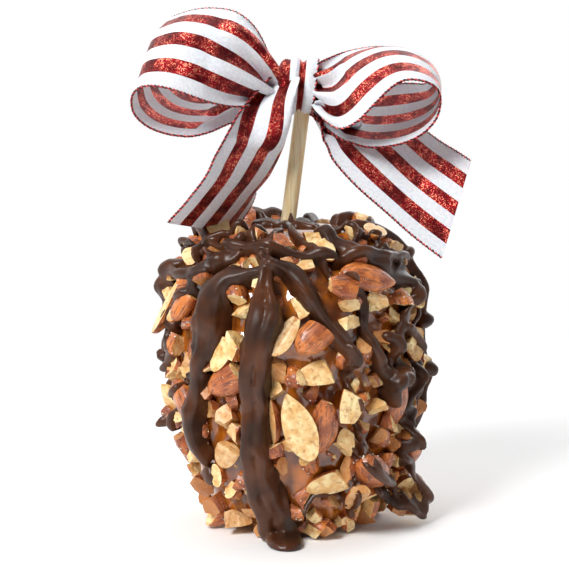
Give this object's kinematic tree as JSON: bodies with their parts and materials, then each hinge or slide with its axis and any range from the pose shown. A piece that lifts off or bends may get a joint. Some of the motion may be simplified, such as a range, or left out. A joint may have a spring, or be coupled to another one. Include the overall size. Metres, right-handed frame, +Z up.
{
  "type": "caramel apple",
  "caption": "Caramel-dipped apple on a wooden stick, coated with roasted almonds and chocolate strands, with a striped ribbon bow.",
  "frame": {"origin": "centre of the apple's foot, on the surface it rests on", "axes": "+Z up along the apple's core, front towards -Y, +X to the right seen from the front"},
  "size_m": [0.1199, 0.1044, 0.1855],
  "materials": {
    "caramel": "glossy amber caramel",
    "wood": "plain light wood",
    "almond_skin": "matte roasted almond skin",
    "almond_cream": "matte cut almond",
    "chocolate": "satin chocolate",
    "ribbon": "white and sheer red striped wired ribbon"
  },
  "bodies": {
    "root": {"almond_amber": "almond_skin", "almond_back_1": "almond_skin", "almond_back_10": "almond_skin", "almond_back_11": "almond_skin", "almond_back_12": "almond_cream", "almond_back_13": "almond_cream", "almond_back_2": "almond_cream", "almond_back_3": "almond_skin", "almond_back_4": "almond_skin", "almond_back_5": "almond_cream", "almond_back_6": "almond_cream", "almond_back_7": "almond_skin", "almond_back_8": "almond_skin", "almond_back_9": "almond_cream", "almond_beside_strand": "almond_cream", "almond_centre": "almond_skin", "almond_centre_low": "almond_cream", "almond_crown_right": "almond_cream", "almond_left": "almond_skin", "almond_left_edge": "almond_cream", "almond_left_inner": "almond_skin", "almond_left_rim": "almond_cream", "almond_low_front": "almond_cream", "almond_low_left": "almond_cream", "almond_low_right": "almond_skin", "almond_low_split": "almond_cream", "almond_oval": "almond_cream", "almond_right": "almond_skin", "almond_right_edge": "almond_skin", "almond_right_mid": "almond_cream", "almond_right_top": "almond_cream", "almond_shoulder": "almond_skin", "almond_sparkly": "almond_skin", "almond_split_front": "almond_cream", "almond_square": "almond_cream", "almond_top_front": "almond_cream", "almond_top_right": "almond_cream", "almond_upright": "almond_skin", "almond_wedge_left": "almond_cream", "caramel_apple_body": "caramel", "chocolate_back_1": "chocolate", "chocolate_back_2": "chocolate", "chocolate_back_3": "chocolate", "chocolate_back_4": "chocolate", "chocolate_back_5": "chocolate", "chocolate_crown": "chocolate", "chocolate_front": "chocolate", "chocolate_left": "chocolate", "chocolate_left_inner": "chocolate", "chocolate_left_rim": "chocolate", "chocolate_middle_right": "chocolate", "chocolate_right_low": "chocolate", "chocolate_shoulder": "chocolate", "chocolate_slant": "chocolate", "chocolate_tongue": "chocolate", "ribbon_bow": "ribbon", "stick": "wood"}
  },
  "joints": []
}
